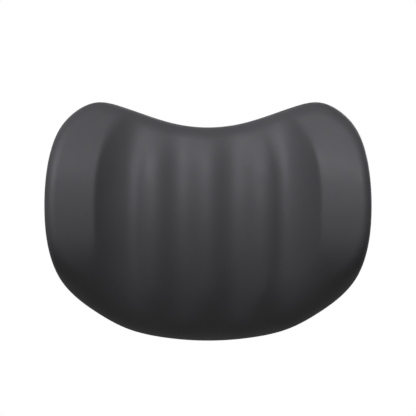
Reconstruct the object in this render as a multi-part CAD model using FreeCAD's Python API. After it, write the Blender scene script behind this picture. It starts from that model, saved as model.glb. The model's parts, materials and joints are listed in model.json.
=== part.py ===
"""Clamp-on headrest for an office chair: a sculpted head pad on a friction hinge, a carriage that
slides on a notched post, and a screw clamp that hooks over the top edge of the chair's backrest.

Millimetres. X runs across the pad, Y from the pad's front (-Y) to the clamp knob (+Y), Z up.
The origin is the middle of the saddle face that rests on the chair's top edge.
"""

import FreeCAD, Part
import math
import os

V = FreeCAD.Vector
AXES = {"x": V(1, 0, 0), "y": V(0, 1, 0), "z": V(0, 0, 1)}

# ---- driving dimensions: clamp ----
THROAT = 36.0            # widest chair edge that the open clamp takes
GRIP_TRAVEL = 24.0       # how far the foot closes the throat
RUBBER = 2.0             # thickness of every rubber lining
LEG_FRONT = 6.0
LEG_REAR = 9.0
LEG_DROP = 42.0          # the legs' reach below the saddle face
SADDLE_TOP = 12.0
FRAME_HALF_W = 26.0
FRAME_TIP_HALF_W = 20.0
SCREW_Z = -22.0
SCREW_R = 5.0
BUSH_R = 8.0
BOSS_R = 12.0
GUIDE_X = 16.5
GUIDE_R = 2.5
PLATE_HALF_W = 24.0
KNOB_R = 18.0
KNOB_L = 22.0

# ---- driving dimensions: post and carriage ----
POST_HALF_W = 18.0
POST_T = 8.0
POST_TOP = 124.0
TRAVEL = 60.0            # height adjustment
NOTCH_PITCH = 10.0
CARRIAGE_LOW = 16.0
CARRIAGE_HIGH = 60.0
CARRIAGE_HALF_W = 29.0
CARRIAGE_FRONT_T = 9.0   # carriage wall in front of the post
CARRIAGE_BACK_T = 13.0   # and behind it
LINER_T = 2.0
RUN = 0.05               # running clearance, on the radius or on each face

# ---- driving dimensions: hinge ----
PIVOT_TO_POST = 30.0     # from the hinge axis back to the post's front face
PIN_R = 4.0
BARREL_R = 13.0
KNUCKLE_HALF_W = 17.0
EAR_INNER_X = 19.2
EAR_T = 4.0
BRACKET_T = 3.0
CAP_R = 10.5
CAP_L = 15.0

# ---- driving dimensions: pad ----
PAD_BOTTOM = -48.0
PAD_MID_H = 105.0        # height of the pad's most forward line above its own bottom
FRONT_R = 176.0          # vertical crown of the front
BACK_R = 300.0           # horizontal curve of the back
BOARD_T = 3.5
COVER_T = 1.5
COVER_LIP = 16.0         # how far the cover is turned in behind the board
STRIP_W = 5.0
STRIP_T = 1.2
SHELL_INSET = 6.0
SHELL_WALL = 2.5
SHELL_RIM = 4.0          # the rear shell's depth at its rim
SHELL_DOME = 6.0         # and how much more it stands out in the middle
GROOVE_INSET = 17.0      # decorative groove round the shell, from the pad's outline
GROOVE_W = 2.4
GROOVE_DEPTH = 0.9
FLOOR_DEPTH = 52.0       # from the board to the most forward line of the cradle's floor
RIB_PITCH = 50.6
RIB_HEIGHT = 6.0
WALL_WIDTH = 42.0        # width of the hollow slope from the floor up to a wing's crest
WALL_POWER = 2.0         # how hollow that slope is
WING_STEP = 25.0         # and its height
WING_SLOPE = 0.25        # how the wing goes on rising outwards from the crest
WING_EDGE = 105.5        # the crest's distance from the middle, where it is widest
CREST_MID_H = 112.0      # and the height at which that is
CREST_BLUR = 3.0         # how far the crest is rounded over
PAD_ROUND = 9.0          # rounding of the pad's front rim

# ---- places worked out from the above ----
JAW_FACE_Y = -THROAT / 2
FRONT_LEG_IN = JAW_FACE_Y - RUBBER
POST_BACK = FRONT_LEG_IN - LEG_FRONT
POST_FRONT = POST_BACK - POST_T
POST_MID = (POST_BACK + POST_FRONT) / 2
CARRIAGE_FRONT = POST_FRONT - CARRIAGE_FRONT_T
CARRIAGE_BACK = POST_BACK + CARRIAGE_BACK_T
PIVOT_Y = POST_FRONT - PIVOT_TO_POST
PIVOT_Z = (CARRIAGE_LOW + CARRIAGE_HIGH) / 2
FOOT_FACE_Y = THROAT / 2
FOOT_BACK = FOOT_FACE_Y + RUBBER + 9.0
REAR_LEG_IN = FOOT_BACK + 1.0
REAR_LEG_OUT = REAR_LEG_IN + LEG_REAR
BOSS_BACK = REAR_LEG_OUT + 7.0
KNOB_FRONT = BOSS_BACK + GRIP_TRAVEL + 2.0
KNOB_BACK = KNOB_FRONT + KNOB_L
BRACKET_FACE = PIVOT_Y - BARREL_R - 2.0
SHELL_SEAT = BRACKET_FACE - BRACKET_T
BOARD_BACK = SHELL_SEAT - COVER_T - SHELL_RIM - SHELL_DOME - 1.0
BOARD_FRONT = BOARD_BACK - BOARD_T

# Half of the pad's outline: (x, height above the pad's bottom), from the bottom up to the dip.
HALF_OUTLINE = [
    (0, 0), (44, 3.5), (74, 11), (102, 26), (122, 41), (135, 56), (144.5, 78), (149.9, 120),
    (148.6, 151), (144.8, 173), (136, 195.5), (122.5, 210.5), (102.5, 219.5), (81, 216),
    (59, 208.5), (30, 199.8), (0, 196.5),
]
BRACKET_SCREWS = [(x, PIVOT_Z + z) for x in (-30, 30) for z in (-20, 20)]
SHELL_SCREWS = [(x, PAD_BOTTOM + h) for x in (-98, 98) for h in (62, 160)]
CARRIAGE_SCREWS = [(x, PIVOT_Z + z) for x in (-24.6, 24.6) for z in (-16, 16)]
POST_SCREWS = [(0, -31), (-10, -9), (10, -9)]


# ---------------------------------------------------------------- simple shapes

def box(x0, x1, y0, y1, z0, z1):
    return Part.makeBox(x1 - x0, y1 - y0, z1 - z0, V(x0, y0, z0))


def rod(axis, radius, start, end, first, second):
    """A cylinder along an axis; first and second place it on the other two axes, in x, y, z order."""
    base = {"x": V(start, first, second), "y": V(first, start, second),
            "z": V(first, second, start)}[axis]
    return Part.makeCylinder(radius, end - start, base, AXES[axis])


def tube(axis, outer, inner, start, end, first, second):
    return rod(axis, outer, start, end, first, second).cut(
        rod(axis, inner, start, end, first, second))


def prism(axis, corners, start, end):
    """Extrudes a closed outline of (first, second, corner radius) points along an axis."""
    def place(point):
        return {"x": V(start, point.x, point.y), "y": V(point.x, start, point.y),
                "z": V(point.x, point.y, start)}[axis]

    stops = []
    for i, (a, b, radius) in enumerate(corners):
        here = V(a, b, 0)
        if radius <= 0:
            stops.append([here])
            continue
        before = V(*corners[i - 1][:2], 0) - here
        after = V(*corners[(i + 1) % len(corners)][:2], 0) - here
        half = before.getAngle(after) / 2
        before.normalize()
        after.normalize()
        reach = radius / math.tan(half)
        towards = (before + after).normalize()
        stops.append([here + before * reach, here + towards * (radius / math.sin(half) - radius),
                      here + after * reach])
    edges = []
    for i, stop in enumerate(stops):
        if len(stop) == 3:
            edges.append(Part.Arc(*[place(p) for p in stop]).toShape())
        leave, arrive = place(stop[-1]), place(stops[(i + 1) % len(stops)][0])
        if leave.distanceToPoint(arrive) > 1e-6:
            edges.append(Part.LineSegment(leave, arrive).toShape())
    return Part.Face(Part.Wire(edges)).extrude(AXES[axis] * (end - start))


def rectangle(a0, a1, b0, b1, radius):
    return [(a0, b0, radius), (a1, b0, radius), (a1, b1, radius), (a0, b1, radius)]


def hexagon(axis, across_flats, start, end, first, second):
    radius = across_flats / 2 / math.cos(math.pi / 6)
    turns = [k * math.pi / 3 for k in range(6)]
    return prism(axis, [(first + radius * math.cos(t), second + radius * math.sin(t), 0)
                        for t in turns], start, end)


def joined(shapes):
    shapes = list(shapes)
    if len(shapes) == 1:
        return shapes[0]
    return shapes[0].multiFuse(shapes[1:]).removeSplitter()


def without(shape, tools):
    tools = list(tools)
    return shape.cut(Part.makeCompound(tools)) if tools else shape


def softened(shape, radius, wanted):
    """Rounds the edges for which wanted(edge's bounding box) is true."""
    edges = [e for e in shape.Edges if wanted(e.BoundBox)]
    return shape.makeFillet(radius, edges) if edges else shape


def flat_at(axis, value):
    """A test for edges that lie wholly in the plane axis = value."""
    low, high = axis.upper() + "Min", axis.upper() + "Max"
    return lambda b: abs(getattr(b, low) - value) < 1e-3 and abs(getattr(b, high) - value) < 1e-3


def runs_along(axis):
    """A test for straight edges parallel to an axis."""
    names = [n for n in "XYZ" if n != axis.upper()]
    return lambda b: all(getattr(b, n + "Max") - getattr(b, n + "Min") < 1e-3 for n in names)


def pan_screw(x, z, seat, tip, radius, head_radius, head_height):
    """A pan-head hexagon-socket screw along -Y, its head standing on the plane y = seat."""
    top = seat + head_height
    head = softened(rod("y", head_radius, seat, top, x, z), head_height * 0.45, flat_at("y", top))
    body = joined([head, rod("y", radius, tip, seat, x, z)])
    return body.cut(hexagon("y", head_radius * 0.9, seat + head_height * 0.4, top + 1, x, z))


# ---------------------------------------------------------------- pad surfaces

def back_curve(x):
    """How far the curved board comes forward at x."""
    return BACK_R - math.sqrt(BACK_R ** 2 - x ** 2)


def smooth_step(low, high, value):
    share = min(1.0, max(0.0, (value - low) / (high - low)))
    return share ** 3 * (10 - 15 * share + 6 * share * share)


def wing_climb(out):
    """How far up its wall a wing is, from 0 at the floor to 1 at the crest, out mm beyond it."""
    return min(1.0, max(0.0, (out + WALL_WIDTH) / WALL_WIDTH))


def crest_x(h):
    """How far from the middle a wing's crest stands at height h."""
    high = min(0.85, max(0.0, (h - CREST_MID_H) / 130.0))
    low = min(1.1, max(0.0, (CREST_MID_H - h) / CREST_MID_H))
    return WING_EDGE * (math.sqrt(1 - high ** 3) - 0.42 * low ** 2.5)


def front_y(x, h):
    """The pad's front: a crowned floor with ribs, and wings that step up beside it."""
    side = abs(x)
    crown = FRONT_R - math.sqrt(FRONT_R ** 2 - (h - PAD_MID_H) ** 2)
    step = WING_STEP * smooth_step(2, 112, h) * (1 - 0.65 * smooth_step(150, 225, h))
    out = side - crest_x(h)
    blur = CREST_BLUR + 5.0 * smooth_step(165, 210, h) + 11.0 * (1 - smooth_step(40, 110, h))
    nearby = [out + blur * k for k in (-1, -0.5, 0, 0.5, 1)]
    wing = sum(step * wing_climb(o) ** WALL_POWER + WING_SLOPE * max(0.0, o) for o in nearby) / 5
    ribs = 0.0
    if side < 1.5 * RIB_PITCH:
        share = smooth_step(-10, 60, h) * (1 - 0.65 * smooth_step(150, 210, h))
        wave = (1 + math.cos(2 * math.pi * side / RIB_PITCH)) / 2
        ribs = RIB_HEIGHT * share * (1 - wing_climb(out)) * wave
    return BOARD_FRONT - FLOOR_DEPTH + crown - wing - ribs


def shell_y(x, h):
    """The rear shell's outer face."""
    dome = max(0.0, 1 - (x / 150.0) ** 2) * max(0.0, 1 - ((h - 100) / 125.0) ** 2)
    return BOARD_BACK - back_curve(x) + COVER_T + SHELL_RIM + SHELL_DOME * dome


def surface_block(surface_y, shift, reach, columns, rows):
    """The space between y = surface_y(x, h) + shift and the same face moved by reach along Y."""
    grid = [[V(x, surface_y(x, h) + shift, PAD_BOTTOM + h)
             for h in (-6 + 229 * j / rows for j in range(rows + 1))]
            for x in (-156 + 312 * i / columns for i in range(columns + 1))]
    surface = Part.BSplineSurface()
    surface.interpolate(grid)
    return surface.toShape().extrude(V(0, reach, 0))


def outline_block(inset):
    """The pad's outline, moved inwards by inset, as a block that runs right through the pad."""
    right = [V(x, -260, h + PAD_BOTTOM) for x, h in HALF_OUTLINE]
    ring = right + [V(-p.x, p.y, p.z) for p in reversed(right[1:-1])]
    moved = []
    for i, point in enumerate(ring):
        along = (ring[(i + 1) % len(ring)] - ring[i - 1]).normalize()
        moved.append(point + V(-along.z, 0, along.x) * inset)
    curve = Part.BSplineCurve()
    curve.interpolate(moved, PeriodicFlag=True)
    return Part.Face(Part.Wire([curve.toShape()])).extrude(V(0, 220, 0))


def back_cylinder(face_y):
    """All the space in front of the curved face whose middle is at y = face_y."""
    centre = BOARD_FRONT - BACK_R
    return Part.makeCylinder(face_y - centre, 300, V(0, centre, PAD_BOTTOM - 40), AXES["z"])


def is_front_rim(edge):
    """True for an edge that stays well in front of the board all along."""
    first, last = edge.ParameterRange
    points = [edge.valueAt(first + (last - first) * k / 8) for k in range(9)]
    return all(p.y < BOARD_FRONT - back_curve(p.x) - 5 for p in points)


def pad_block(inset, back_face):
    """The pad's outer shape, made smaller all over its sides and front by inset."""
    front = surface_block(front_y, inset, 220, 48, 28)
    block = outline_block(inset).common(front).common(back_cylinder(back_face))
    return block.makeFillet(PAD_ROUND - inset, [e for e in block.Edges if is_front_rim(e)])


def behind_board(inset, reach):
    """What lies within the inset outline and up to reach behind the board."""
    return outline_block(inset).common(back_cylinder(BOARD_BACK + reach)).cut(
        back_cylinder(BOARD_BACK))


# ---------------------------------------------------------------- the pieces

def clamp_pieces():
    profile = [(POST_BACK, -LEG_DROP, 1.5), (FRONT_LEG_IN, -LEG_DROP, 1.5),
               (FRONT_LEG_IN, RUBBER, 1.0), (REAR_LEG_IN, RUBBER, 3.0),
               (REAR_LEG_IN, -LEG_DROP, 1.5), (REAR_LEG_OUT, -LEG_DROP, 3.0),
               (REAR_LEG_OUT, SADDLE_TOP, 9.0), (POST_BACK, SADDLE_TOP, 2.0)]
    taper = [(-FRAME_TIP_HALF_W, -LEG_DROP - 1, 0), (FRAME_TIP_HALF_W, -LEG_DROP - 1, 0),
             (FRAME_HALF_W, -8, 12), (FRAME_HALF_W, SADDLE_TOP + 1, 0),
             (-FRAME_HALF_W, SADDLE_TOP + 1, 0), (-FRAME_HALF_W, -8, 12)]
    hook = prism("x", profile, -FRAME_HALF_W, FRAME_HALF_W)
    hook = hook.common(prism("y", taper, POST_BACK - 1, REAR_LEG_OUT + 1))
    boss = rod("y", BOSS_R, REAR_LEG_OUT - 1, BOSS_BACK, 0, SCREW_Z)
    boss = softened(boss, 1.5, flat_at("y", BOSS_BACK))
    web = prism("x", [(REAR_LEG_OUT - 1, SCREW_Z, 0), (BOSS_BACK - 2, SCREW_Z, 0),
                      (REAR_LEG_OUT - 1, SADDLE_TOP - 8, 0)], -4, 4)
    relief = prism("z", rectangle(-17, 17, -12, 24, 5), SADDLE_TOP - 3, SADDLE_TOP + 1)
    frame = without(joined([hook, boss, web]), [
        relief,
        rod("y", BUSH_R, REAR_LEG_IN - 1, BOSS_BACK + 1, 0, SCREW_Z),
        *[rod("y", GUIDE_R + RUN, REAR_LEG_IN - 1, BOSS_BACK, x, SCREW_Z)
          for x in (-GUIDE_X, GUIDE_X)],
        *[rod("y", 2.5, POST_BACK - 1, FRONT_LEG_IN - 1, x, z) for x, z in POST_SCREWS]])

    post = box(-POST_HALF_W, POST_HALF_W, POST_FRONT, POST_BACK, -38, POST_TOP)
    post = softened(post, 1.0, runs_along("z"))
    notches = [prism("x", [(POST_BACK - 1.2, z, 0), (POST_BACK + 1, z - 3.7, 0),
                           (POST_BACK + 1, z + 3.7, 0)], -7, 7)
               for z in (PIVOT_Z + NOTCH_PITCH * k for k in range(int(TRAVEL / NOTCH_PITCH) + 1))]
    countersinks = []
    screws = []
    for x, z in POST_SCREWS:
        cone = Part.makeCone(4.7, 2.5, 2.6, V(x, POST_FRONT, z), AXES["y"])
        shank = rod("y", 2.5, POST_FRONT + 2.6, FRONT_LEG_IN - 1.5, x, z)
        countersinks += [cone, rod("y", 2.5, POST_FRONT, POST_BACK + 1, x, z)]
        screws.append(joined([cone, shank]).cut(
            hexagon("y", 3.0, POST_FRONT - 1, POST_FRONT + 2, x, z)))
    peg = rod("z", 2.5, POST_TOP - 12, POST_TOP, 0, POST_MID)
    post = without(post, notches + countersinks + [peg])
    cap = prism("z", rectangle(-20, 20, POST_FRONT - 2.5, POST_BACK + 2.5, 3),
                POST_TOP, POST_TOP + 4)
    cap = joined([softened(cap, 1.2, flat_at("z", POST_TOP + 4)), peg])

    lining = prism("y", [(-17.5, -39, 3), (17.5, -39, 3), (23, -10, 10), (23, -2, 3),
                         (-23, -2, 3), (-23, -10, 10)], FRONT_LEG_IN, JAW_FACE_Y)
    grooves = [box(-30, 30, JAW_FACE_Y - 0.7, JAW_FACE_Y + 1, z - 0.8, z + 0.8)
               for z in range(-34, -4, 5)]
    saddle = prism("z", rectangle(-23, 23, JAW_FACE_Y + 1, FOOT_FACE_Y - 1, 3), 0, RUBBER)
    bush = tube("y", BUSH_R, SCREW_R + RUN, REAR_LEG_IN, BOSS_BACK, 0, SCREW_Z)
    return {
        "clamp_frame": [frame],
        "threaded_bush": [bush],
        "front_jaw_pad": [without(lining, grooves)],
        "saddle_pad": [saddle],
        "post": [post],
        "post_screws": screws,
        "post_cap": [cap],
    }


def foot_pieces():
    face = FOOT_FACE_Y + RUBBER
    plate = prism("y", rectangle(-PLATE_HALF_W, PLATE_HALF_W, SCREW_Z - 15, SCREW_Z + 15, 5),
                  face, FOOT_BACK)
    plate = softened(plate, 1.5, flat_at("y", FOOT_BACK))
    pins = [rod("y", GUIDE_R, face + 2, REAR_LEG_OUT + GRIP_TRAVEL - 2, x, SCREW_Z)
            for x in (-GUIDE_X, GUIDE_X)]
    plate = without(plate, pins + [
        rod("y", 8.0, face - 1, face + 4, 0, SCREW_Z),
        rod("y", PIN_R + RUN, face, FOOT_BACK + 1, 0, SCREW_Z)])
    pad = prism("y", rectangle(-PLATE_HALF_W + 1, PLATE_HALF_W - 1, SCREW_Z - 14, SCREW_Z + 14, 4),
                FOOT_FACE_Y, face)
    grooves = [box(-30, 30, FOOT_FACE_Y - 1, FOOT_FACE_Y + 0.7, z - 0.8, z + 0.8)
               for z in range(int(SCREW_Z) - 10, int(SCREW_Z) + 11, 5)]
    return {
        "pressure_plate": [plate],
        "pressure_pad": [without(pad, grooves)],
        "guide_pins": pins,
    }


def screw_pieces():
    face = FOOT_FACE_Y + RUBBER
    groove = (face + 2.6, face + 3.6)
    neck = 3.2
    shoulder = KNOB_BACK - 6.0
    spindle = joined([
        rod("y", PIN_R, face + 1.2, groove[0], 0, SCREW_Z),
        rod("y", neck, groove[0], groove[1], 0, SCREW_Z),
        rod("y", PIN_R, groove[1], FOOT_BACK + RUN, 0, SCREW_Z),
        rod("y", SCREW_R, FOOT_BACK + RUN, KNOB_FRONT, 0, SCREW_Z),
        hexagon("y", 8.0, KNOB_FRONT, shoulder, 0, SCREW_Z)])
    bolt_tip = shoulder - 12
    spindle = spindle.cut(rod("y", 2.5, bolt_tip, shoulder + 1, 0, SCREW_Z))
    clip = tube("y", 6.5, neck, groove[0] + 0.1, groove[1] - 0.1, 0, SCREW_Z)
    clip = clip.cut(box(-2, 2, groove[0] - 1, groove[1] + 1, SCREW_Z - 8, SCREW_Z - 1))

    knob = rod("y", KNOB_R, KNOB_FRONT, KNOB_BACK, 0, SCREW_Z)
    lobes = 6
    for k in range(lobes):
        turn = 2 * math.pi * (k + 0.5) / lobes
        knob = knob.cut(rod("y", 6.0, KNOB_FRONT - 1, KNOB_BACK + 1,
                            (KNOB_R + 3) * math.cos(turn), SCREW_Z + (KNOB_R + 3) * math.sin(turn)))
    knob = softened(knob, 1.8, lambda b: flat_at("y", KNOB_BACK)(b) or flat_at("y", KNOB_FRONT)(b))
    knob = without(knob, [
        hexagon("y", 8.0, KNOB_FRONT - 1, shoulder, 0, SCREW_Z),
        rod("y", 8.5, shoulder, KNOB_BACK + 1, 0, SCREW_Z)])
    washer = tube("y", 6.5, 2.5, shoulder, shoulder + 1, 0, SCREW_Z)
    screw = pan_screw(0, SCREW_Z, shoulder + 1, bolt_tip, 2.5, 4.5, 2.8)
    cap = rod("y", 8.5, KNOB_BACK - 1.8, KNOB_BACK + 0.8, 0, SCREW_Z)
    return {
        "clamp_screw": [spindle],
        "retaining_clip": [clip],
        "knob": [knob],
        "knob_washer": [washer],
        "knob_screw": [screw],
        "knob_cap": [softened(cap, 0.7, flat_at("y", KNOB_BACK + 0.8))],
    }


def carriage_pieces():
    room = LINER_T + RUN
    pocket = box(-POST_HALF_W - room, POST_HALF_W + room, POST_FRONT - room, POST_BACK + room,
                 CARRIAGE_LOW + 1.5, CARRIAGE_HIGH - 1.5)
    opening = box(-POST_HALF_W - 0.3, POST_HALF_W + 0.3, POST_FRONT - 0.3, POST_BACK + 0.3,
                  CARRIAGE_LOW - 1, CARRIAGE_HIGH + 1)
    seat = CARRIAGE_BACK - 3.0
    tip = CARRIAGE_FRONT + 2.0
    screws = [pan_screw(x, z, seat, tip, 2.0, 3.4, 2.2) for x, z in CARRIAGE_SCREWS]
    threads = [rod("y", 2.0, tip, seat, x, z) for x, z in CARRIAGE_SCREWS]
    heads = [rod("y", 3.6, seat, CARRIAGE_BACK + 1, x, z) for x, z in CARRIAGE_SCREWS]

    outline = rectangle(-CARRIAGE_HALF_W, CARRIAGE_HALF_W, CARRIAGE_LOW, CARRIAGE_HIGH, 4)
    block = prism("y", outline, CARRIAGE_FRONT, POST_MID)
    block = softened(block, 2.5, flat_at("y", CARRIAGE_FRONT))
    arm = prism("x", [(PIVOT_Y, PIVOT_Z - BARREL_R, 0), (CARRIAGE_FRONT - 6, PIVOT_Z - BARREL_R, 8),
                      (CARRIAGE_FRONT + 2, PIVOT_Z - 20, 0), (CARRIAGE_FRONT + 2, PIVOT_Z + 20, 0),
                      (CARRIAGE_FRONT - 6, PIVOT_Z + BARREL_R, 8), (PIVOT_Y, PIVOT_Z + BARREL_R, 0)],
                -KNUCKLE_HALF_W, KNUCKLE_HALF_W)
    barrel = rod("x", BARREL_R, -KNUCKLE_HALF_W, KNUCKLE_HALF_W, PIVOT_Y, PIVOT_Z)
    bush_ends = [(-KNUCKLE_HALF_W, -5.0), (5.0, KNUCKLE_HALF_W)]
    front = without(joined([block, arm, barrel]), [
        pocket, opening,
        rod("x", PIN_R + 0.5, -KNUCKLE_HALF_W - 1, KNUCKLE_HALF_W + 1, PIVOT_Y, PIVOT_Z),
        *[rod("x", PIN_R + 2, a, b, PIVOT_Y, PIVOT_Z) for a, b in bush_ends], *threads])

    cover = prism("y", outline, POST_MID, CARRIAGE_BACK)
    cover = softened(cover, 3.0, flat_at("y", CARRIAGE_BACK))
    spring_room = box(-8, 8, POST_BACK, POST_BACK + 7, PIVOT_Z - 15, PIVOT_Z + 15)
    back = without(cover, [pocket, opening, spring_room, *threads, *heads])

    leaf = [(7.0, 14.0), (1.4, 4.0), (0.6, 1.6), (-1.0, 0.0), (0.6, -1.6), (1.4, -4.0), (7.0, -14.0)]
    near = [(POST_BACK + a, PIVOT_Z + b, 0) for a, b in leaf]
    far = [(POST_BACK + a + 0.8, PIVOT_Z + b, 0) for a, b in leaf[1:-1]]
    spring = prism("x", near[:1] + near[1:] + [(POST_BACK + 7.0, PIVOT_Z - 12.6, 0)] + far[::-1]
                   + [(POST_BACK + 7.0, PIVOT_Z + 12.6, 0)], -6, 6)

    liners = []
    for side in (-1, 1):
        inner, outer = sorted((side * 12.0, side * (POST_HALF_W + room)))
        channel = box(inner, outer, POST_FRONT - room, POST_BACK + room,
                      CARRIAGE_LOW + 1.5, CARRIAGE_HIGH - 1.5)
        liners.append(channel.cut(box(-POST_HALF_W - RUN, POST_HALF_W + RUN, POST_FRONT - RUN,
                                      POST_BACK + RUN, CARRIAGE_LOW, CARRIAGE_HIGH)))
    bushes = [tube("x", PIN_R + 2, PIN_R + RUN, a, b, PIVOT_Y, PIVOT_Z) for a, b in bush_ends]
    return {
        "carriage_front": [front],
        "carriage_back": [back],
        "slide_liner_left": [liners[0]],
        "slide_liner_right": [liners[1]],
        "detent_spring": [spring],
        "carriage_screws": screws,
        "hinge_bushes": bushes,
    }


def hinge_pieces():
    ear_out = EAR_INNER_X + EAR_T
    base = prism("y", rectangle(-39, 39, PIVOT_Z - 28, PIVOT_Z + 28, 7), SHELL_SEAT, BRACKET_FACE)
    lug = joined([
        prism("x", [(SHELL_SEAT + 1, PIVOT_Z - 22, 0), (PIVOT_Y - 3, PIVOT_Z - 12.6, 0),
                    (PIVOT_Y - 3, PIVOT_Z + 12.6, 0), (SHELL_SEAT + 1, PIVOT_Z + 22, 0)],
              EAR_INNER_X, ear_out),
        rod("x", BARREL_R, EAR_INNER_X, ear_out, PIVOT_Y, PIVOT_Z)])
    mirrored = lug.mirror(V(0, 0, 0), AXES["x"])
    holes = [rod("y", 2.5, SHELL_SEAT - 1, BRACKET_FACE + 1, x, z) for x, z in BRACKET_SCREWS]
    bracket = without(joined([base, lug, mirrored]), holes + [
        rod("x", PIN_R, -ear_out - 1, ear_out + 1, PIVOT_Y, PIVOT_Z)])

    nut_start = ear_out + 3.6
    nut_end = nut_start + 6.5
    pin = joined([hexagon("x", 13.0, -ear_out - 5.3, -ear_out, PIVOT_Y, PIVOT_Z),
                  rod("x", PIN_R, -ear_out - 1, nut_end + 2, PIVOT_Y, PIVOT_Z)])
    nut = hexagon("x", 13.0, nut_start, nut_end, PIVOT_Y, PIVOT_Z).cut(
        rod("x", PIN_R, nut_start - 1, nut_end + 1, PIVOT_Y, PIVOT_Z))
    springs = []
    for start, narrow_first in ((ear_out, False), (ear_out + 1.8, True)):
        radii = (5.0, 8.0) if narrow_first else (8.0, 5.0)
        outer = Part.makeCone(radii[0] + 1, radii[1] + 1, 1.8, V(start, PIVOT_Y, PIVOT_Z),
                              AXES["x"])
        hollow = rod("x", PIN_R + 0.1, start - 1, start + 3, PIVOT_Y, PIVOT_Z)
        dish = Part.makeCone(*((radii[0] - 1.2, radii[1] - 2.0) if narrow_first
                               else (radii[0] - 0.8, radii[1] - 1.0)), 1.0,
                             V(start + (0.8 if narrow_first else 0.0), PIVOT_Y, PIVOT_Z),
                             AXES["x"])
        springs.append(outer.cut(hollow).cut(dish))
    washers = [tube("x", 12.0, PIN_R, a, b, PIVOT_Y, PIVOT_Z)
               for a, b in ((-EAR_INNER_X, -KNUCKLE_HALF_W - RUN),
                            (KNUCKLE_HALF_W + RUN, EAR_INNER_X))]

    def cap(side, hollows):
        reach = sorted((side * ear_out, side * (ear_out + CAP_L)))
        body = softened(rod("x", CAP_R, *reach, PIVOT_Y, PIVOT_Z), 2.0,
                        flat_at("x", side * (ear_out + CAP_L)))
        return without(body, hollows)

    left = cap(-1, [hexagon("x", 13.0, -ear_out - 5.3, -ear_out + 1, PIVOT_Y, PIVOT_Z),
                    rod("x", 6.0, -ear_out - 12, -ear_out, PIVOT_Y, PIVOT_Z)])
    right = cap(1, [rod("x", 9.3, ear_out - 1, nut_start, PIVOT_Y, PIVOT_Z),
                    hexagon("x", 13.0, nut_start, nut_end, PIVOT_Y, PIVOT_Z),
                    rod("x", PIN_R + 0.4, nut_end, nut_end + 2.4, PIVOT_Y, PIVOT_Z)])
    return {
        "hinge_bracket": [bracket],
        "hinge_pin": [pin],
        "hinge_nut": [nut],
        "disc_springs": springs,
        "friction_washers": washers,
        "hinge_cap_left": [left],
        "hinge_cap_right": [right],
    }


def pad_pieces():
    # The screws and the threaded inserts that they run into.
    bracket_tip = BOARD_FRONT - 6.0
    bracket_screws = [pan_screw(x, z, BRACKET_FACE, bracket_tip + 2, 2.5, 4.5, 2.8)
                      for x, z in BRACKET_SCREWS]
    inserts, shanks, insert_rods, shell_screws, seats = [], [], [], [], []
    for x, z in BRACKET_SCREWS + SHELL_SCREWS:
        on_bracket = (x, z) in BRACKET_SCREWS
        radius = 2.5 if on_bracket else 2.0
        back = BOARD_BACK - back_curve(abs(x) + 4)
        front = BOARD_FRONT - back_curve(abs(x)) - 6.0
        inserts.append(joined([tube("y", 4.0, radius, front + 1.5, back, x, z),
                               tube("y", 7.0, radius, front, front + 1.5, x, z)]))
        insert_rods += [rod("y", 4.0, front + 1.5, back, x, z),
                        rod("y", 7.0, front, front + 1.5, x, z)]
        if not on_bracket:
            seat = shell_y(abs(x), z - PAD_BOTTOM) - 3.4
            seats.append((x, z, seat))
            shell_screws.append(pan_screw(x, z, seat, front + 1, radius, 3.6, 2.2))
        shanks.append(rod("y", radius, front, BRACKET_FACE, x, z))

    inner = pad_block(COVER_T, BOARD_BACK)
    outer = pad_block(0, BOARD_BACK + COVER_T)
    cover = outer.cut(inner).cut(behind_board(COVER_LIP, 10))
    board = without(inner.cut(back_cylinder(BOARD_FRONT)), insert_rods + shanks)
    foam = without(inner.common(back_cylinder(BOARD_FRONT)), insert_rods)
    strip = outline_block(SHELL_INSET + SHELL_WALL).cut(
        outline_block(SHELL_INSET + SHELL_WALL + STRIP_W))
    strip = strip.common(back_cylinder(BOARD_BACK + COVER_T + STRIP_T)).cut(
        back_cylinder(BOARD_BACK + COVER_T))

    shell = outline_block(SHELL_INSET).common(surface_block(shell_y, 0, -60, 12, 10))
    hollow = outline_block(SHELL_INSET + SHELL_WALL).common(
        surface_block(shell_y, -SHELL_WALL, -70, 12, 10))
    shell = shell.cut(hollow).cut(back_cylinder(BOARD_BACK + COVER_T))
    plate = prism("y", rectangle(-42, 42, PIVOT_Z - 31, PIVOT_Z + 31, 8), SHELL_SEAT - 4, SHELL_SEAT)
    pillars = [rod("y", 7.0, BOARD_BACK - 4, SHELL_SEAT - 1, x, z) for x, z in BRACKET_SCREWS]
    posts = [rod("y", 6.5, BOARD_BACK - back_curve(98) - 4, seat, x, z) for x, z, seat in seats]
    wells = [rod("y", 4.6, seat, seat + 20, x, z) for x, z, seat in seats]
    inner_zone = outline_block(SHELL_INSET + 1).common(surface_block(shell_y, 1.0, -60, 12, 10))
    groove = outline_block(GROOVE_INSET).cut(outline_block(GROOVE_INSET + GROOVE_W))
    groove = groove.common(surface_block(shell_y, -GROOVE_DEPTH, 5, 12, 10))
    shell = joined([shell, plate, *[p.common(inner_zone) for p in pillars + posts]])
    shell = without(shell, [back_cylinder(BOARD_BACK), groove, *wells, *shanks])
    return {
        "pad_cover": [cover],
        "foam_core": [foam],
        "support_board": [board],
        "threaded_inserts": inserts,
        "cover_strip": [strip],
        "rear_shell": [shell],
        "shell_screws": shell_screws,
        "bracket_screws": bracket_screws,
    }


os.makedirs("parts", exist_ok=True)
for group in (clamp_pieces, foot_pieces, screw_pieces, carriage_pieces, hinge_pieces, pad_pieces):
    for name, shapes in group().items():
        solids = [solid for shape in shapes for solid in shape.Solids]
        whole = solids[0] if len(solids) == 1 else Part.makeCompound(solids)
        whole.exportStep("parts/" + name + ".step")
        print(name, len(solids), "solid(s)", round(whole.Volume / 1000, 2), "cm3",
              "valid" if whole.isValid() else "NOT VALID")
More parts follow.
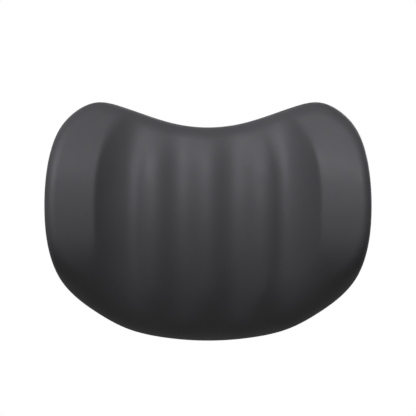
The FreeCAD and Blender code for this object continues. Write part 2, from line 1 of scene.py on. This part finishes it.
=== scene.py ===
"""Looks for the clamp-on chair headrest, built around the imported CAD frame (metres, row frame)."""

import json
import math

import bmesh
import bpy
import numpy as np
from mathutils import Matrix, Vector


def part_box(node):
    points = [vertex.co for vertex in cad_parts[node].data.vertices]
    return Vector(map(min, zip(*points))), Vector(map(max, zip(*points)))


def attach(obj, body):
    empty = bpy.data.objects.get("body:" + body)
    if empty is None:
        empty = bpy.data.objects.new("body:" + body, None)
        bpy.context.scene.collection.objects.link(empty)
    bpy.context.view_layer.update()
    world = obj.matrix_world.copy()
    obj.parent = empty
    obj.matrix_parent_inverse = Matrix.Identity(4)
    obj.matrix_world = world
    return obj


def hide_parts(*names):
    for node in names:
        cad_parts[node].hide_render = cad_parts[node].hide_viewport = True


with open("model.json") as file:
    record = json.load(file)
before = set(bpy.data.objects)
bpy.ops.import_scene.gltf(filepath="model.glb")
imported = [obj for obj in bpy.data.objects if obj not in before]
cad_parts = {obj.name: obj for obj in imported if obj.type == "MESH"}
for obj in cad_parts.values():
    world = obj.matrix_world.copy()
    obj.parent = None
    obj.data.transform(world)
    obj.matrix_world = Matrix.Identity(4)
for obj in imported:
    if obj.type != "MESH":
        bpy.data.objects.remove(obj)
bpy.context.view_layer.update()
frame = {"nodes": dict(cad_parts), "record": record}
MM = 0.001

# ---------------------------------------------------------------- pad dimensions (mm)
# x runs across the pad, h up from its bottom edge, and y backwards, as in the row frame.
PAD_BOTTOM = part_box("pad_cover")[0].z / MM
BOARD_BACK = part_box("support_board")[1].y / MM
BOARD_T = 3.5
COVER_T = 1.5
BACK_R = 300.0           # curve of the board and of the pad's back
FLOOR_DEPTH = 52.0       # from the board to the cradle's floor
FRONT_R = 173.0          # curve of the cradle's floor, seen from the side
PAD_MID_H = 106.2        # height where the floor stands furthest forward
LIP = 14.5               # width of the turned-in edge behind the board

RIB_PITCH = 50.8
RIB_HEIGHT = 6.25
RIB_START = (-10, 55)    # heights between which the ribs grow to full size
RIB_END = (148, 210)     # and between which they fade towards the top
RIB_FADE = 0.69          # share of a rib's height that is lost there

WALL_WIDTH = 42.6        # width of the hollow slope from the cradle's floor to a wing's crest
WALL_POWER = 2.0         # its hollowness, 1 being straight
WING_STEP = 24.7         # height of a crest over the floor
WING_START = (-3.5, 103) # heights between which the crests rise to it
WING_END = (141, 234)    # and between which they sink towards the top
WING_FADE = 0.45         # share of a crest's height that is lost there
WING_SLOPE = 0.227       # how fast the flat face outside the crest comes further forward
WING_EDGE = 104.2        # the crests' distance from the middle at its widest
CREST_MID_H = 112.0      # height of that widest place
CREST_RUN_UP = 130.0     # over which a crest leans in towards the ears
CREST_RUN_DOWN = 112.0   # and towards the bottom
CREST_LEAN = 0.40        # share of WING_EDGE by which it has leaned in at the bottom
CREST_BLUR = 1.2         # half width over which a crest is rounded
CREST_BLUR_TOP = 5.0     # added near the ears, between these heights
CREST_BLUR_TOP_AT = (165, 210)
CREST_BLUR_LOW = 11.0    # added near the bottom, fading out between these heights
CREST_BLUR_LOW_AT = (40, 110)

HALF_OUTLINE = [         # the right half as (x, h), from the bottom's middle to the top's
    (0, 0), (44, 3.5), (74, 11), (102, 26), (122, 41), (135, 56), (144.5, 78), (149.9, 120),
    (148.6, 151), (144.8, 173), (136, 195.5), (122.5, 210.5), (102.5, 219.5), (81, 216),
    (59, 208.5), (30, 199.8), (0, 196.5),
]


# ---------------------------------------------------------------- the pad's outline
def closed_curve(points, count):
    """Evenly spaced points on the smooth closed curve through the given ones."""
    p = np.array(points, float)
    n = len(p)
    gaps = np.linalg.norm(np.roll(p, -1, 0) - p, axis=1)
    system = np.zeros((n, n))
    right = np.zeros((n, 2))
    for i in range(n):
        before, after = gaps[i - 1], gaps[i]
        system[i, i - 1] += before
        system[i, i] += 2 * (before + after)
        system[i, (i + 1) % n] += after
        right[i] = 6 * ((p[(i + 1) % n] - p[i]) / after - (p[i] - p[i - 1]) / before)
    bend = np.linalg.solve(system, right)
    dense = []
    for i in range(n):
        j, gap = (i + 1) % n, gaps[i]
        for t in np.arange(0, 1, 0.01):
            a, b = 1 - t, t
            dense.append(a * p[i] + b * p[j]
                         + ((a ** 3 - a) * bend[i] + (b ** 3 - b) * bend[j]) * gap ** 2 / 6)
    dense = np.array(dense)
    loop = np.vstack([dense, dense[:1]])
    run = np.r_[0, np.cumsum(np.linalg.norm(np.diff(loop, axis=0), axis=1))]
    at = np.linspace(0, run[-1], count, endpoint=False)
    return np.c_[np.interp(at, run, loop[:, 0]), np.interp(at, run, loop[:, 1])]


def outward(loop):
    """Unit normals that point out of a closed loop of points."""
    along = np.roll(loop, -1, 0) - np.roll(loop, 1, 0)
    along /= np.linalg.norm(along, axis=1)[:, None]
    return np.c_[along[:, 1], -along[:, 0]]


# ---------------------------------------------------------------- the pad's surfaces
def smooth_step(low, high, value):
    """0 below low, 1 above high, and a smooth rise between them."""
    share = np.clip((value - low) / (high - low), 0, 1)
    return share ** 3 * (10 - 15 * share + 6 * share * share)


def back_curve(x):
    """How far the curved board bends forward at x."""
    return BACK_R - np.sqrt(BACK_R ** 2 - x ** 2)


def wing_profile(out, step):
    """Rise of a wing, out mm beyond its crest: a hollow slope up to the crest, then a flat face."""
    climb = np.clip((out + WALL_WIDTH) / WALL_WIDTH, 0, 1)
    return step * climb ** WALL_POWER + WING_SLOPE * np.maximum(0, out)


def crest_x(h):
    """How far from the middle a wing's crest stands at height h."""
    high = np.clip((h - CREST_MID_H) / CREST_RUN_UP, 0, 0.85)
    low = np.clip((CREST_MID_H - h) / CREST_RUN_DOWN, 0, 1.1)
    return WING_EDGE * (np.sqrt(1 - high ** 3) - CREST_LEAN * low ** 2.5)


def front_y(x, h):
    """The padded front: a crowned floor with ribs, and a wing on each side."""
    side = np.abs(x)
    crown = FRONT_R - np.sqrt(FRONT_R ** 2 - (h - PAD_MID_H) ** 2)
    step = WING_STEP * smooth_step(*WING_START, h) * (1 - WING_FADE * smooth_step(*WING_END, h))
    out = side - crest_x(h)
    blur = (CREST_BLUR + CREST_BLUR_TOP * smooth_step(*CREST_BLUR_TOP_AT, h)
            + CREST_BLUR_LOW * (1 - smooth_step(*CREST_BLUR_LOW_AT, h)))
    places = np.linspace(-1, 1, 9)
    wing = sum(wing_profile(out + blur * place, step) for place in places) / len(places)
    climb = np.clip((out + WALL_WIDTH) / WALL_WIDTH, 0, 1)
    share = smooth_step(*RIB_START, h) * (1 - RIB_FADE * smooth_step(*RIB_END, h)) * (1 - climb)
    wave = (1 + np.cos(2 * math.pi * np.minimum(side, 1.5 * RIB_PITCH) / RIB_PITCH)) / 2
    return BOARD_BACK - BOARD_T - FLOOR_DEPTH + crown - wing - RIB_HEIGHT * share * wave


def cover_back(x):
    """The outside of the cover where it is turned in behind the board."""
    return BOARD_BACK + COVER_T - back_curve(x)


def inner_face(x, h):
    """The hidden face that closes the skin, just inside the board's back."""
    return BOARD_BACK - INNER_GAP - back_curve(x)


def coons(bottom, right, top, left):
    """A grid spanned between four sides; bottom and top run with x, left and right run upwards."""
    u = np.linspace(0, 1, len(bottom))[:, None, None]
    v = np.linspace(0, 1, len(left))[None, :, None]
    corners = ((1 - u) * (1 - v) * bottom[0] + u * (1 - v) * bottom[-1]
               + (1 - u) * v * top[0] + u * v * top[-1])
    return ((1 - v) * bottom[:, None] + v * top[:, None]
            + (1 - u) * left[None] + u * right[None] - corners)


# ---------------------------------------------------------------- the cover's mesh
ACROSS, UP = 150, 98     # cells of the grids that span the cover
OUTLINE_POINTS = 4000
RIM_RINGS, WALL_RINGS, TUCK_RINGS, LIP_RINGS = 12, 8, 5, 8
RIM_ROLL = 10.0          # width of the rolled rim at the sides
RIM_MORE_TOP = 3.0       # and how much wider it is along the top
RIM_MORE_BOTTOM = 10.0   # and along the bottom
RIM_MORE_CORNER = 7.0    # and in the bottom corners
RIM_SHARE = 0.55         # most of the pad's edge height that the roll may take
RIM_PULL = 0.58          # fullness of the rolled rim
WALL_SWELL = 0.5         # how far the side wall bulges
TUCK = 2.6               # radius of the edge where the cover turns in behind the board
INNER_GAP = 0.6          # how far inside the board's back the hidden face lies
PLEAT_PITCH, PLEAT_WIDTH, PLEAT_HEIGHT = 7.5, 1.5, 0.9
PLEAT_SHIFT = 2.0        # how unevenly the gathers are spaced
PLEAT_STRAIGHT = 0.25    # share of a gather's height that is left on straight stretches


def diagonal_corners(outline):
    """Where the outline runs diagonally: lower left, lower right, upper right, upper left."""
    normal = outward(outline)
    near_middle = 10 * (np.abs(outline[:, 0]) < 100)
    return [int(np.argmax(normal @ np.array(way) / math.sqrt(2) - near_middle))
            for way in ((-1, -1), (1, -1), (1, 1), (-1, 1))]


def side_points(outline, start, end, count, axis):
    """Points along the outline from start to end, evenly spaced along one axis."""
    span = (end - start) % len(outline)
    piece = outline[(start + np.arange(span + 1)) % len(outline)]
    key = np.cumsum(np.maximum(np.abs(np.diff(piece[:, axis], prepend=piece[0, axis])), 1e-6))
    at = np.linspace(key[0], key[-1], count + 1)[:-1]
    return np.c_[np.interp(at, key, piece[:, 0]), np.interp(at, key, piece[:, 1])]


def cover_loop():
    """The pad's outline as one point for each cell edge round the grid."""
    ring = HALF_OUTLINE + [(-x, h) for x, h in reversed(HALF_OUTLINE[1:-1])]
    outline = closed_curve(ring, OUTLINE_POINTS)
    corners = diagonal_corners(outline)
    return np.vstack([side_points(outline, corners[k], corners[(k + 1) % 4], (ACROSS, UP)[k % 2], k % 2)
                      for k in range(4)])


def pleats(loop, out):
    """Height of the gathers round the turned-in edge, about 0 to 1, more where the outline bends."""
    run = np.r_[0, np.cumsum(np.linalg.norm(np.diff(loop, axis=0), axis=1))]
    turn_rate = np.linalg.norm(np.roll(out, -6, 0) - np.roll(out, 6, 0), axis=1)
    rng = np.random.default_rng(7)
    height = np.zeros(len(loop))
    for centre in np.arange(0, run[-1], PLEAT_PITCH):
        gap = np.abs(run - centre - rng.uniform(-PLEAT_SHIFT, PLEAT_SHIFT))
        gap = np.minimum(gap, run[-1] - gap)
        height += rng.uniform(0.5, 1.0) * np.exp(-(gap / PLEAT_WIDTH) ** 2)
    bent = smooth_step(0.25, 0.9, turn_rate / turn_rate.max())
    return height * (PLEAT_STRAIGHT + (1 - PLEAT_STRAIGHT) * bent)


class Skin:
    """A closed skin: a grid, rings that grow from its edge, and a grid that closes the last one."""

    def __init__(self):
        self.verts, self.faces, self.edge = [], [], []
        wide = UP + 1
        self.round_grid = ([i * wide for i in range(ACROSS)]
                           + [ACROSS * wide + j for j in range(UP)]
                           + [i * wide + UP for i in range(ACROSS, 0, -1)]
                           + list(range(UP, 0, -1)))

    def add(self, points, y):
        """Adds points in (x, h) at the depths y and returns their numbers."""
        first = len(self.verts)
        self.verts.extend(zip(points[:, 0], y, points[:, 1] + PAD_BOTTOM))
        return list(range(first, len(self.verts)))

    def grid(self, loop, surface):
        """Spans a grid inside the loop, using the last ring as its edge where there is one."""
        turn = ACROSS + UP
        points = coons(loop[:ACROSS + 1], loop[ACROSS:turn + 1],
                       loop[turn:turn + ACROSS + 1][::-1],
                       np.vstack([loop[turn + ACROSS:], loop[:1]])[::-1]).reshape(-1, 2)
        ids = dict(zip(self.round_grid, self.edge))
        new = [k for k in range(len(points)) if k not in ids]
        ids.update(zip(new, self.add(points[new], surface(*points[new].T))))
        for i in range(ACROSS):
            for j in range(UP):
                a = i * (UP + 1) + j
                self.faces.append([ids[k] for k in (a, a + UP + 1, a + UP + 2, a + 1)])
        self.edge = [ids[k] for k in self.round_grid]

    def ring(self, points, y):
        """Adds a ring of points and joins it to the last one."""
        ids = self.add(points, y)
        for k, here in enumerate(ids):
            self.faces.append((self.edge[k - 1], ids[k - 1], here, self.edge[k]))
        self.edge = ids


def build_cover():
    """Front, rolled rim, side wall, turned-in edge and hidden inner face, from front to back."""
    loop = cover_loop()
    out = outward(loop)
    for _ in range(3):
        out = (np.roll(out, 1, 0) + out + np.roll(out, -1, 0)) / 3
    out /= np.linalg.norm(out, axis=1)[:, None]
    roll = (RIM_ROLL + RIM_MORE_TOP * np.maximum(0, out[:, 1]) ** 2
            + RIM_MORE_BOTTOM * np.maximum(0, -out[:, 1]) ** 2
            + RIM_MORE_CORNER * (2 * out[:, 0] * np.maximum(0, -out[:, 1])) ** 2)
    inset = loop - out * roll[:, None]
    front = front_y(*inset.T)
    slope = (front_y(*(inset + out).T) - front_y(*(inset - out).T)) / 2
    back = cover_back(loop[:, 0])
    brow = front + slope * roll
    wall = np.minimum(roll, RIM_SHARE * (back - brow))

    skin = Skin()
    skin.grid(inset, front_y)
    for s in np.arange(1, RIM_RINGS + 1) / RIM_RINGS:
        a, b, c, d = (1 - s) ** 3, 3 * s * (1 - s) ** 2, 3 * s * s * (1 - s), s ** 3
        level = (a * front + b * (front + RIM_PULL * slope * roll)
                 + c * (brow + (1 - RIM_PULL) * wall) + d * (brow + wall))
        skin.ring(loop - out * (roll * (a + b * (1 - RIM_PULL)))[:, None], level)
    for s in np.arange(1, WALL_RINGS + 1) / WALL_RINGS:
        swell = WALL_SWELL * math.sin(math.pi * s)
        skin.ring(loop + out * swell, brow + wall + (back - TUCK - brow - wall) * s)
    for s in np.arange(1, TUCK_RINGS + 1) / TUCK_RINGS:
        turn = s * math.pi / 2
        skin.ring(loop - out * TUCK * (1 - math.cos(turn)), back - TUCK * (1 - math.sin(turn)))
    gathers = PLEAT_HEIGHT * pleats(loop, out)
    for s in np.arange(1, LIP_RINGS + 1) / LIP_RINGS:
        here = loop - out * (TUCK + (LIP - TUCK) * s)
        skin.ring(here, cover_back(here[:, 0]) + gathers * math.sin(math.pi * (0.15 + s * 0.75)))
    here = loop - out * LIP
    skin.ring(here, inner_face(*here.T))
    skin.grid(here, inner_face)
    return mesh_object("padded_cover", skin.verts, skin.faces)


def mesh_object(name, verts, faces):
    """A smooth object from points in mm, with touching points merged and faces turned outwards."""
    mesh = bpy.data.meshes.new(name)
    mesh.from_pydata([(x * MM, y * MM, z * MM) for x, y, z in verts], [], faces)
    shape = bmesh.new()
    shape.from_mesh(mesh)
    bmesh.ops.remove_doubles(shape, verts=shape.verts, dist=1e-6)
    bmesh.ops.recalc_face_normals(shape, faces=shape.faces)
    shape.to_mesh(mesh)
    shape.free()
    mesh.shade_smooth()
    obj = bpy.data.objects.new(name, mesh)
    bpy.context.scene.collection.objects.link(obj)
    return obj


# ---------------------------------------------------------------- materials
class Nodes:
    """A short way to write node trees."""

    def __init__(self, name):
        self.material = bpy.data.materials.new(name)
        self.material.use_nodes = True
        self.tree = self.material.node_tree
        self.shader = self.tree.nodes["Principled BSDF"]
        self.coords = self.tree.nodes.new("ShaderNodeTexCoord").outputs["Object"]

    def link(self, source, target):
        self.tree.links.new(source, target)

    def mapped(self, scale):
        node = self.tree.nodes.new("ShaderNodeMapping")
        node.inputs["Scale"].default_value = scale
        self.link(self.coords, node.inputs["Vector"])
        return node.outputs["Vector"]

    def noise(self, scale, detail=3.0, roughness=0.5, stretch=(1, 1, 1)):
        node = self.tree.nodes.new("ShaderNodeTexNoise")
        node.inputs["Scale"].default_value = scale
        node.inputs["Detail"].default_value = detail
        node.inputs["Roughness"].default_value = roughness
        self.link(self.mapped(stretch), node.inputs["Vector"])
        return node.outputs["Fac"]

    def voronoi(self, scale):
        node = self.tree.nodes.new("ShaderNodeTexVoronoi")
        node.feature = "DISTANCE_TO_EDGE"
        node.inputs["Scale"].default_value = scale
        self.link(self.coords, node.inputs["Vector"])
        return node.outputs["Distance"]

    def ramp(self, value, low, high, a, b):
        node = self.tree.nodes.new("ShaderNodeMapRange")
        node.inputs["From Min"].default_value = low
        node.inputs["From Max"].default_value = high
        node.inputs["To Min"].default_value = a
        node.inputs["To Max"].default_value = b
        self.link(value, node.inputs["Value"])
        return node.outputs["Result"]

    def blend(self, factor, a, b):
        node = self.tree.nodes.new("ShaderNodeMix")
        node.data_type = "RGBA"
        self.link(factor, node.inputs["Factor"])
        node.inputs["A"].default_value = (*a, 1)
        node.inputs["B"].default_value = (*b, 1)
        return node.outputs["Result"]

    def maths(self, operation, a, b):
        node = self.tree.nodes.new("ShaderNodeMath")
        node.operation = operation
        for socket, value in zip(node.inputs, (a, b)):
            if isinstance(value, (int, float)):
                socket.default_value = value
            else:
                self.link(value, socket)
        return node.outputs["Value"]

    def bump(self, height, strength, distance):
        node = self.tree.nodes.new("ShaderNodeBump")
        node.inputs["Strength"].default_value = strength
        node.inputs["Distance"].default_value = distance
        self.link(height, node.inputs["Height"])
        self.link(node.outputs["Normal"], self.shader.inputs["Normal"])

    def finish(self, colour, roughness, metallic=0.0, specular=0.5, **others):
        self.link(colour, self.shader.inputs["Base Color"])
        self.link(roughness, self.shader.inputs["Roughness"])
        self.shader.inputs["Metallic"].default_value = metallic
        self.shader.inputs["Specular IOR Level"].default_value = specular
        for name, value in others.items():
            self.shader.inputs[name.replace("_", " ")].default_value = value
        return self.material


def cover_material():
    n = Nodes("cover_leather")
    cloud = n.noise(9, 2)
    grain = n.voronoi(620)
    fine = n.noise(2600, 2)
    tone = n.blend(n.ramp(cloud, 0.35, 0.65, 0, 1),
                   (0.0515, 0.0515, 0.0551), (0.0575, 0.0575, 0.0614))
    pores = n.ramp(grain, 0.0, 0.12, 0.0, 1.0)
    n.bump(n.maths("ADD", n.maths("MULTIPLY", pores, 0.7), n.maths("MULTIPLY", fine, 0.3)),
           0.10, 0.0002)
    rough = n.ramp(n.noise(35, 3), 0.3, 0.7, 0.585, 0.655)
    return n.finish(tone, rough)


def plastic(name, dark, light, rough, grain=1500, bump=0.15):
    n = Nodes(name)
    tone = n.blend(n.noise(25, 4), dark, light)
    n.bump(n.noise(grain, 3, 0.6), bump, 0.0002)
    return n.finish(tone, n.ramp(n.noise(60, 3), 0.3, 0.7, rough - 0.06, rough + 0.06),
                    specular=0.45)


def metal(name, dark, light, rough, stretch, bump=0.08):
    n = Nodes(name)
    lines = n.noise(900, 3, 0.6, stretch)
    tone = n.blend(n.noise(30, 3), dark, light)
    n.bump(lines, bump, 0.0001)
    return n.finish(tone, n.ramp(lines, 0.3, 0.7, rough - 0.07, rough + 0.07), metallic=1.0)


def powder(name, dark, light, rough):
    n = Nodes(name)
    tone = n.blend(n.noise(40, 3), dark, light)
    n.bump(n.noise(1100, 2, 0.4), 0.25, 0.0002)
    return n.finish(tone, n.ramp(n.noise(90, 3), 0.3, 0.7, rough - 0.05, rough + 0.05))


def rubber(name):
    n = Nodes(name)
    tone = n.blend(n.noise(50, 4), (0.030, 0.030, 0.031), (0.045, 0.045, 0.046))
    n.bump(n.noise(1800, 3), 0.2, 0.0002)
    return n.finish(tone, n.ramp(n.noise(80, 3), 0.3, 0.7, 0.72, 0.86), specular=0.3)


def foam_material():
    n = Nodes("foam")
    tone = n.blend(n.voronoi(500), (0.40, 0.37, 0.30), (0.55, 0.52, 0.44))
    n.bump(n.voronoi(700), 0.5, 0.0004)
    return n.finish(tone, n.ramp(n.noise(80), 0.3, 0.7, 0.85, 0.95), specular=0.2)


LOOKS = {
    "shell": plastic("shell_plastic", (0.040, 0.040, 0.043), (0.050, 0.050, 0.054), 0.50, 1300, 0.3),
    "nylon": plastic("nylon", (0.032, 0.032, 0.034), (0.042, 0.042, 0.045), 0.48, 1700, 0.22),
    "board": plastic("board", (0.05, 0.05, 0.055), (0.065, 0.065, 0.07), 0.6, 900, 0.2),
    "strip": plastic("strip", (0.08, 0.08, 0.08), (0.11, 0.11, 0.11), 0.5),
    "acetal": plastic("acetal", (0.58, 0.58, 0.56), (0.66, 0.66, 0.64), 0.35, 1200, 0.05),
    "cast_black": powder("powder_coat", (0.050, 0.051, 0.054), (0.062, 0.063, 0.066), 0.42),
    "black_steel": powder("black_steel", (0.036, 0.036, 0.039), (0.048, 0.048, 0.051), 0.34),
    "post_metal": metal("anodised_post", (0.50, 0.51, 0.53), (0.58, 0.59, 0.61), 0.34, (8, 8, 0.4)),
    "zinc_steel": metal("zinc_steel", (0.50, 0.50, 0.50), (0.62, 0.61, 0.58), 0.30, (1, 8, 8)),
    "spring_steel": metal("spring_steel", (0.30, 0.30, 0.33), (0.40, 0.40, 0.42), 0.28, (8, 8, 1)),
    "brass": metal("brass", (0.60, 0.42, 0.17), (0.72, 0.54, 0.25), 0.30, (8, 1, 8)),
    "rubber": rubber("rubber"),
    "foam": foam_material(),
}
slot_of = {s["node"]: s["material_slot"] for s in frame["record"]["subparts"]}
for name, node in frame["nodes"].items():
    if slot_of[name] in LOOKS:
        node.data.materials.clear()
        node.data.materials.append(LOOKS[slot_of[name]])

# ---------------------------------------------------------------- pad cover
SWELL_CAP = 0.8          # mm that pressure may lift the skin
HELD_DEPTH = 3.0         # mm in front of the cover's back where the skin is still held
CLOTH_STEPS = 10         # frames of simulation
SETTLE_STEPS = 400       # passes that even out the lift between neighbouring points


def stretch_cover(obj):
    """A cloth pass: pressure pulls the skin tight over the foam; its turned-in edge is held."""
    mesh = obj.data
    before = np.array([v.co[:] for v in mesh.vertices])
    back = cover_back(before[:, 0] / MM) * MM
    held = before[:, 1] > back - HELD_DEPTH * MM
    group = obj.vertex_groups.new(name="held")
    group.add([int(index) for index in np.nonzero(held)[0]], 1.0, "REPLACE")
    cloth = obj.modifiers.new("skin", "CLOTH")
    settings = cloth.settings
    settings.quality = 4
    settings.mass = 0.3
    settings.use_pressure = True
    settings.uniform_pressure_force = 3.0
    settings.vertex_group_mass = group.name
    settings.effector_weights.gravity = 0
    settings.tension_stiffness = settings.compression_stiffness = 20
    settings.shear_stiffness = 10
    settings.bending_stiffness = 20
    for step in range(1, CLOTH_STEPS + 1):
        bpy.context.scene.frame_set(step)
    shaped = obj.evaluated_get(bpy.context.evaluated_depsgraph_get()).to_mesh()
    moved = np.array([v.co[:] for v in shaped.vertices]) - before
    obj.modifiers.remove(cloth)
    bpy.context.scene.frame_set(1)
    normals = np.array([v.normal[:] for v in mesh.vertices])
    edges = np.array([edge.vertices[:] for edge in mesh.edges])
    ends, others = np.vstack([edges, edges[:, ::-1]]).T
    lift = (moved * normals).sum(axis=1)
    for _ in range(SETTLE_STEPS):
        lift = (lift + np.bincount(ends, lift[others]) / np.bincount(ends)) / 2
        lift[held] = 0
    cap = SWELL_CAP * MM
    lift = cap * np.tanh(lift / cap)
    mesh.vertices.foreach_set("co", (before + normals * lift[:, None]).ravel())
    mesh.update()


cover = build_cover()
stretch_cover(cover)
smooth = cover.modifiers.new("smooth", "SUBSURF")
smooth.levels = smooth.render_levels = 1
cover.data.materials.append(cover_material())
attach(cover, "pad")
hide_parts("pad_cover", "foam_core")


# ---------------------------------------------------------------- clamp screw
SCREW_PITCH = 3.0
SCREW_MAJOR, SCREW_MINOR = 5.0, 3.5   # radii, as the next three
SCREW_ROUGH = 4.0        # where the thread fades out at its two ends
SCREW_NECK = 3.2         # in the groove of the swivel's clip
SCREW_END = 4.0          # at the plain ends, by the swivel and in the knob
TIP_BEVEL = 0.5
NECK_PLAY = 0.1          # between the groove and the clip on each side
THREAD_LEAD = 0.95       # how far the thread starts before the bush
SHARP_ANGLE = 40         # degrees between faces that are shaded as an edge
FLAT_SHARE = 0.161       # half of the root's flat, as a share of the pitch
FLANK_SHARE = 0.156      # and one flank
FADE = 2.5               # length over which the thread rises at its ends
AROUND, STEPS_PER_TURN = 40, 24


def thread_radius(turns):
    """Trapezoidal profile: turns is the place along the pitch, from 0 to 1."""
    off = np.abs(turns % 1.0 - 0.5)
    rise = np.clip((off - FLAT_SHARE) / FLANK_SHARE, 0, 1)
    return SCREW_MINOR + (SCREW_MAJOR - SCREW_MINOR) * rise


def build_screw():
    """The spindle with its right-hand thread, from the swivel end to inside the knob."""
    low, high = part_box("clamp_screw")
    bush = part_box("threaded_bush")
    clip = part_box("retaining_clip")
    axis_z = (bush[0].z + bush[1].z) / 2 / MM
    tip, end = low.y / MM, high.y / MM
    start, stop = bush[0].y / MM - THREAD_LEAD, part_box("knob")[0].y / MM
    groove = (clip[0].y / MM - NECK_PLAY, clip[1].y / MM + NECK_PLAY)
    turn = np.arange(AROUND) / AROUND
    rings = [(tip, 0.0), (tip, SCREW_END - TIP_BEVEL), (tip + TIP_BEVEL, SCREW_END),
             (groove[0], SCREW_END), (groove[0], SCREW_NECK), (groove[1], SCREW_NECK),
             (groove[1], SCREW_END), (start, SCREW_END), (start, SCREW_ROUGH)]
    steps = int((stop - start) / SCREW_PITCH * STEPS_PER_TURN)
    for y in np.linspace(start, stop, steps + 1)[1:-1]:
        fade = min(1.0, (y - start) / FADE, (stop - y) / FADE)
        rings.append((y, (1 - fade) * SCREW_ROUGH + fade * thread_radius(y / SCREW_PITCH - turn)))
    rings += [(stop, SCREW_ROUGH), (stop, SCREW_END), (end, SCREW_END), (end, 0.0)]
    verts, faces = [], []
    for y, radius in rings:
        reach = np.broadcast_to(radius, turn.shape)
        verts += [(r * math.sin(2 * math.pi * t), y, axis_z + r * math.cos(2 * math.pi * t))
                  for r, t in zip(reach, turn)]
    for row in range(len(rings) - 1):
        for k in range(AROUND):
            a, b = row * AROUND + k, row * AROUND + (k + 1) % AROUND
            faces.append((a, b, b + AROUND, a + AROUND))
    obj = mesh_object("trapezoidal_screw", verts, faces)
    obj.data.set_sharp_from_angle(angle=math.radians(SHARP_ANGLE))
    return obj


screw = build_screw()
screw.data.materials.append(LOOKS["zinc_steel"])
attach(screw, "clamp_screw")
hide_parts("clamp_screw")


# ---------------------------------------------------------------- staging
def area_light(name, place, target, size, power, colour=(1, 1, 1)):
    data = bpy.data.lights.new(name, "AREA")
    data.shape = "RECTANGLE"
    data.size, data.size_y = size
    data.energy = power
    data.color = colour
    obj = bpy.data.objects.new(name, data)
    bpy.context.scene.collection.objects.link(obj)
    obj.location = place
    obj.rotation_euler = (Vector(target) - Vector(place)).to_track_quat("-Z", "Y").to_euler()
    return obj


AIM = (0, -0.13, 0.07)   # about the middle of the pad, in metres as all of the staging
UNDER_PAD = (0, -0.13, 0.0)
FLOOR_Z = -1.2           # a headrest's usual height above the floor
FLOOR_SIZE = 2.4
AMBIENT = 0.167          # strength of the white room on the object; the camera sees pure white
area_light("key", (-0.373, -1.50, 1.502), AIM, (1.3, 0.9), 36, (1.02, 1.0, 1.055))
area_light("back", (0.7, 1.7, 0.55), AIM, (1.2, 1.0), 9)
area_light("back_fill", (-0.5, 1.6, 1.0), AIM, (1.6, 1.2), 34).visible_glossy = False
for side in (-1, 1):
    area_light("side_fill", (1.8 * side, 0.9, 0.6), AIM, (1.0, 1.0), 24).visible_glossy = False
area_light("bounce", (0, 0.02, -0.28), UNDER_PAD, (0.7, 0.25), 0.119)

world = bpy.data.worlds.new("studio")
bpy.context.scene.world = world
world.use_nodes = True
nodes, links = world.node_tree.nodes, world.node_tree.links
nodes.clear()
output = nodes.new("ShaderNodeOutputWorld")
mix = nodes.new("ShaderNodeMixShader")
seen = nodes.new("ShaderNodeBackground")
ambient = nodes.new("ShaderNodeBackground")
path = nodes.new("ShaderNodeLightPath")
seen.inputs["Color"].default_value = (1, 1, 1, 1)
seen.inputs["Strength"].default_value = 1.0
ambient.inputs["Color"].default_value = (1, 1, 1, 1)
ambient.inputs["Strength"].default_value = AMBIENT
links.new(path.outputs["Is Camera Ray"], mix.inputs["Fac"])
links.new(ambient.outputs[0], mix.inputs[1])
links.new(seen.outputs[0], mix.inputs[2])
links.new(mix.outputs[0], output.inputs["Surface"])

bpy.ops.mesh.primitive_plane_add(size=FLOOR_SIZE, location=(0, 0, FLOOR_Z))
floor = bpy.context.object
floor.name = "floor"
paper = Nodes("floor_paper")
floor.data.materials.append(paper.finish(
    paper.blend(paper.noise(4, 2), (0.80, 0.80, 0.80), (0.84, 0.84, 0.84)),
    paper.ramp(paper.noise(20), 0.3, 0.7, 0.85, 0.95), specular=0.2,
    Emission_Color=(1, 1, 1, 1), Emission_Strength=0.7))
floor.visible_diffuse = False
floor.visible_glossy = False

scene = bpy.context.scene
scene.view_settings.view_transform = "Standard"
scene.view_settings.look = "None"

FRAME_WIDTH = 0.3827     # what the picture spans at the pad's depth
PAD_Y = -0.15
VIEW_Z = 0.0743          # the camera's height
DISTANCE = 8.0           # from the camera to PAD_Y, far enough for almost no perspective
camera_data = bpy.data.cameras.new("camera")
camera_data.sensor_width = 36.0
camera_data.lens = camera_data.sensor_width * DISTANCE / FRAME_WIDTH
camera = bpy.data.objects.new("camera", camera_data)
scene.collection.objects.link(camera)
camera.location = (0, PAD_Y - DISTANCE, VIEW_Z)
camera.rotation_euler = (math.pi / 2, 0, 0)
scene.camera = camera
